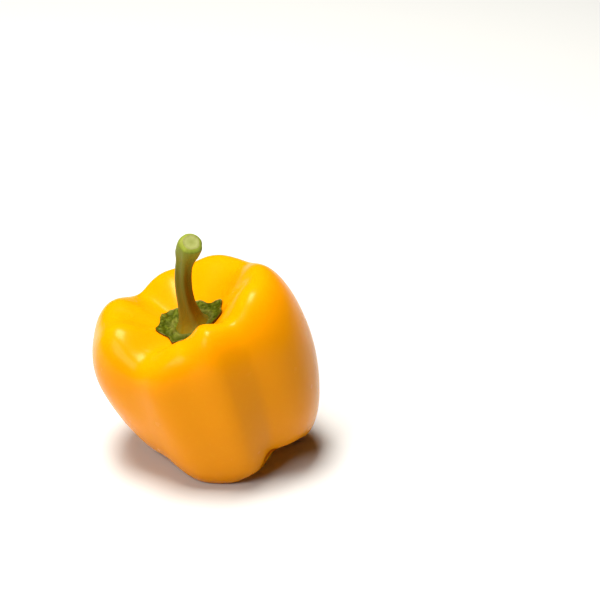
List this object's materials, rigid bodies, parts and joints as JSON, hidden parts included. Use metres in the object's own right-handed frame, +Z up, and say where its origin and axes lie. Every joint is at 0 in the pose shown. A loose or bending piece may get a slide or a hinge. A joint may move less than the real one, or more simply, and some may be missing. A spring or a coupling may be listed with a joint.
{
  "type": "bell pepper",
  "caption": "Four-lobed sweet bell pepper as picked, standing on the feet of its lobes, with a crinkled calyx and a bent, flared stem.",
  "frame": {"origin": "under the middle of the box, on the surface that the lobes' feet stand on", "axes": "+Z up, -X the way the fruit leans, -Y the side towards the camera"},
  "size_m": [0.0912, 0.0798, 0.0994],
  "materials": {
    "pepper_skin": "smooth, waxy",
    "calyx_skin": "matt, crinkled",
    "stem_skin": "matt, ridged"
  },
  "bodies": {
    "root": {"fruit": "pepper_skin", "calyx": "calyx_skin", "stem": "stem_skin"}
  },
  "joints": []
}
